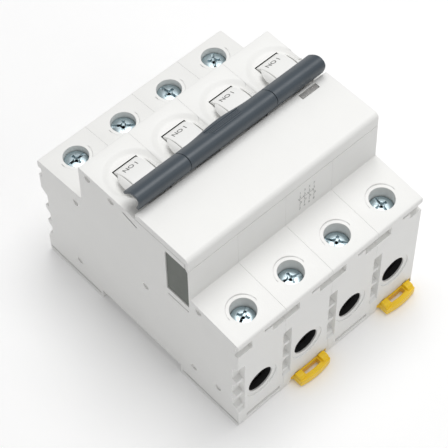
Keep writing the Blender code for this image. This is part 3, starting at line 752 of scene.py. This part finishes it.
def build_screw(pole, end):
    """A terminal screw with a threaded shank, and a slot and cross that each stop at their own angle."""
    low, high = SCREW[pole, end]
    at = ((low.x + high.x) / 2, (low.y + high.y) / 2)
    top, neck = high.z, high.z - HEAD_HEIGHT
    profile = [(0, low.z), (2.0, low.z), (2.4, low.z + 0.5)]
    thread_pitch = 0.8
    threads = int((neck - low.z - 1.5) / thread_pitch)
    for thread in range(threads):
        z = low.z + 0.6 + thread * thread_pitch
        profile += [(2.45, z), (2.05, z + thread_pitch / 2)]
    profile += [(2.4, neck), (HEAD_RADIUS, neck), (HEAD_RADIUS, top - 0.95), (HEAD_RADIUS - 0.35, top - 0.5),
                (HEAD_RADIUS - 0.9, top - 0.2), (HEAD_RADIUS - 1.8, top - 0.04), (0, top)]
    turn = math.radians(17 + 41 * pole + (25 if end == "near" else 0))
    to_axis = Matrix.Translation((-at[0], -at[1], 0))
    spin = to_axis.inverted() @ Matrix.Rotation(turn, 4, "Z") @ to_axis
    half, reach = 0.42, 1.9
    slot_depth, cross_depth = (top - 0.75, top + OVERSHOOT), (top - 0.95, top + OVERSHOOT)
    slot = block((at[0] - 4, at[0] + 4), (at[1] - half, at[1] + half), slot_depth)
    cross = block((at[0] - half, at[0] + half), (at[1] - reach, at[1] + reach), cross_depth)
    arm = block((at[0] - reach, at[0] + reach), (at[1] - half, at[1] + half), cross_depth)
    well = rod("Z", 0.35, top - 1.3, top + 0.3, at, 16, end_radius=1.2)
    for tool in (slot, cross, arm, well):
        bmesh.ops.transform(tool, matrix=spin, verts=tool.verts)
    screw = carved(turned(profile, at, 40), [slot, cross, arm, well])
    add_piece(f"pole_{pole}_{end}_clamp_screw", screw, f"pole_{pole}_{end}_screw", ZINC,
              [f"pole_{pole}_{end}_screw"], rounding=0.05, sharp=35)


def build_clip(pole, end):
    """The yellow rail clip: a sliding tongue under the foot, a bowed bar outside and two raised arms."""
    low, high = box_mm(f"pole_{pole}_{end}_rail_clip")
    sign = ENDS[end]
    middle = (low.x + high.x) / 2
    reach = max(abs(low.y), abs(high.y))
    nose = min(abs(low.y), abs(high.y))
    wing, tab, bow, bar = CLIP_HALF_WIDTH, 6.0, 0.7, 1.7
    wing_y, tab_y, slot_y, slot_half = 41.8, 42.3, 42.9, 3.0
    front = [(tab * i / 8, reach - bow * (i / 8) ** 2) for i in range(8, -9, -1)]
    plan = [(wing, nose), (wing, wing_y), (tab, tab_y)] + front
    plan += [(-tab, tab_y), (-wing, wing_y), (-wing, nose)]
    slot = [(tab * i / 8, reach - bar - bow * (i / 8) ** 2) for i in range(4, -5, -1)]
    slot = [(slot_half, slot_y)] + slot + [(-slot_half, slot_y)]
    base = plan_prism([(middle + x, sign * y) for x, y in plan], low.z, high.z)
    clip = carved(base, [plan_prism([(middle + x, sign * y) for x, y in slot], -OVERSHOOT, 8)])
    add_piece(f"pole_{pole}_{end}_yellow_clip", clip, f"pole_{pole}_{end}_clip", YELLOW,
              [f"pole_{pole}_{end}_rail_clip"], rounding=CLIP_ROUNDING, segments=3)
    arm_low, arm_top, arm_inner, arm_outer = high.z - 0.4, high.z + 1.1, 3.5, tab - 0.15
    arm_back = 42.65
    profile = filleted([(arm_back, arm_low, 0), (arm_back, arm_top, 0.3), (44.9, arm_top, 0.9),
                        (45.5, arm_low, 0)])
    for side, name in ((-1, "left"), (1, "right")):
        x0, x1 = sorted((middle + side * arm_inner, middle + side * arm_outer))
        arm = side_prism([(sign * y, z) for y, z in profile], x0, x1)
        add_piece(f"pole_{pole}_{end}_clip_arm_{name}", arm, f"pole_{pole}_{end}_clip", YELLOW,
                  rounding=CLIP_ROUNDING, segments=3)


def dress_cad_node(name, material, rounding=0.12):
    """Keeps a CAD solid as it is, with a better material and softened edges."""
    item = frame["nodes"][name]
    item.data.materials.clear()
    item.data.materials.append(material)
    weld = item.modifiers.new("weld", "WELD")
    weld.merge_threshold = 0.002 * MM
    flat = item.modifiers.new("flat faces", "DECIMATE")
    flat.decimate_type = "DISSOLVE"
    flat.angle_limit = math.radians(1)
    bevel = item.modifiers.new("rounded edges", "BEVEL")
    bevel.width = rounding * MM
    bevel.segments = 2
    bevel.limit_method = "ANGLE"
    bevel.angle_limit = math.radians(35)
    bevel.use_clamp_overlap = True


def build_inner_parts():
    """The CAD solids inside the case keep their shapes."""
    for pole in POLES:
        dress_cad_node(f"pole_{pole}_arc_chute", STEEL, 0.08)
        dress_cad_node(f"pole_{pole}_magnetic_trip", COPPER)
        dress_cad_node(f"pole_{pole}_bimetal", BIMETAL)
        dress_cad_node(f"pole_{pole}_contact_arm", COPPER)
        for end in ENDS:
            dress_cad_node(f"pole_{pole}_{end}_clamp_cage", STEEL, 0.2)
    for rivet in (1, 2, 3):
        dress_cad_node(f"case_rivet_{rivet}", STEEL)
    dress_cad_node("trip_bar", BLACK_AND_PAINTED_SHADE)
    dress_cad_node("trip_flag", RED, 0.05)
    dress_cad_node("handle_tie_rod", STEEL, 0.08)


# ---------------------------------------------------------------- prints


def on_near_wall(x, z):
    """Places a print on the nose's near wall, read from that side."""
    wall_height = 13.6

    def placed(across, up, out):
        drop = (COVER_STEP_Z - z - up) / wall_height
        y = NOSE_NEAR_Y + (SHOULDER_Y["near"] - NOSE_NEAR_Y) * drop
        return (x - across, y + out, z + up)
    return placed


def on_shelf(end, x, y):
    """Places a print on a sloping shelf, read from the front with its top towards the nose's near wall."""
    def placed(across, up, out):
        return (x + across, y + up, shelf_height(end, y + up) + out)
    return placed


def stroke(name, lines, width, placed, material=PALE_INK):
    """Thin printed lines, each between two (across, up) points."""
    shape = bmesh.new()
    for (a0, b0), (a1, b1) in lines:
        along = Vector((a1 - a0, b1 - b0)).normalized() * width / 2
        side = Vector((-along.y, along.x))
        start, finish = Vector((a0, b0)) - along, Vector((a1, b1)) + along
        corners = [start - side, finish - side, finish + side, start + side]
        low = [shape.verts.new(placed(c.x, c.y, -INK_DEPTH)) for c in corners]
        high = [shape.verts.new(placed(c.x, c.y, INK_DEPTH)) for c in corners]
        shape.faces.new(high)
        shape.faces.new(list(reversed(low)))
        for k in range(4):
            n = (k + 1) % 4
            shape.faces.new((low[k], low[n], high[n], high[k]))
    bmesh.ops.recalc_face_normals(shape, faces=shape.faces)
    return add_piece(name, shape, "case", material, rounding=0)


def build_prints():
    """A plain circuit symbol with its terminal numbers, and a voltage."""
    lines = []
    for a in SYMBOL_POLES:
        lines += [((a, 2.6), (a, 1.4)), ((a, 0.1), (a - 0.75, 1.5)), ((a - 0.35, 1.15), (a + 0.35, 1.65)),
                  ((a, 0.1), (a, -0.6)), ((a, -0.6), (a + 0.6, -0.6)), ((a + 0.6, -0.6), (a + 0.6, -1.2)),
                  ((a, -1.2), (a + 0.6, -1.2)), ((a, -1.2), (a, -2.4))]
    lines.append(((-3.1, 0.8), (2.6, 0.8)))
    stroke("circuit_symbol", lines, 0.16, on_near_wall(SYMBOL_X, SYMBOL_Z))
    for k, a in enumerate(SYMBOL_POLES):
        for place, number, z in (("upper", 2 * k + 1, 56.9), ("lower", 2 * k + 2, 49.8)):
            lettering(f"{place}_number_{number}", str(number), 1.0, PALE_INK, "case",
                      on_near_wall(SYMBOL_X - a, z))
    lettering("voltage_mark", "400V~", 1.2, PALE_INK, "case", on_shelf("far", -29.5, -24.8))


# ---------------------------------------------------------------- studio


def build_studio():
    """A pale floor just under the feet, an even white sky, and a soft key and fill light."""
    floor_half, floor_z, aim = 1500, -0.05, Vector((0, 0, 0.03))
    ground = bmesh.new()
    bmesh.ops.create_grid(ground, x_segments=1, y_segments=1, size=floor_half)
    for vert in ground.verts:
        vert.co.z = floor_z
    floor = object_from("floor", ground)
    paper = surface("paper", (0.95, 0.95, 0.95), 0.9, variation=0.003, grain=0.0,
                    Emission_Color=(1, 1, 1, 1), Emission_Strength=0.08)
    floor.data.materials.append(paper)

    world = bpy.context.scene.world or bpy.data.worlds.new("studio")
    bpy.context.scene.world = world
    world.use_nodes = True
    sky = world.node_tree.nodes["Background"]
    sky.inputs["Color"].default_value = (1.0, 1.0, 1.0, 1)
    sky.inputs["Strength"].default_value = 0.40

    lamps = (("key", (-0.14, -0.06, 0.72), 0.45, 3.1),     # name, place and size in metres, watts
             ("fill", (-0.05, 0.55, 0.5), 0.3, 0.4))
    for name, place, size, power in lamps:
        light = bpy.data.lights.new(name, "AREA")
        light.size = size
        light.energy = power
        lamp = bpy.data.objects.new(name, light)
        lamp.location = place
        lamp.rotation_euler = (aim - Vector(place)).to_track_quat("-Z", "Y").to_euler()
        bpy.context.scene.collection.objects.link(lamp)


def build_camera():
    """A long lens above the near end, on the breaker's right."""
    lens = bpy.data.cameras.new("camera")
    lens.lens, lens.sensor_width = 135.54, 36.0
    camera = bpy.data.objects.new("camera", lens)
    axes = Matrix((CAMERA_RIGHT, CAMERA_UP, CAMERA_RIGHT.cross(CAMERA_UP))).transposed()
    camera.matrix_world = Matrix.Translation(CAMERA_PLACE) @ axes.to_4x4()
    bpy.context.scene.collection.objects.link(camera)
    bpy.context.scene.camera = camera


build_case()
build_front_cover()
build_trip_window()
build_side_insert()
build_toggles()
build_handle()
for pole in POLES:
    for end in ENDS:
        build_screw(pole, end)
        build_cable_funnel(pole, end)
for pole, end in CLIPS:
    build_clip(pole, end)
build_inner_parts()
build_prints()
build_studio()
build_camera()

bpy.context.scene.view_settings.view_transform = "Standard"
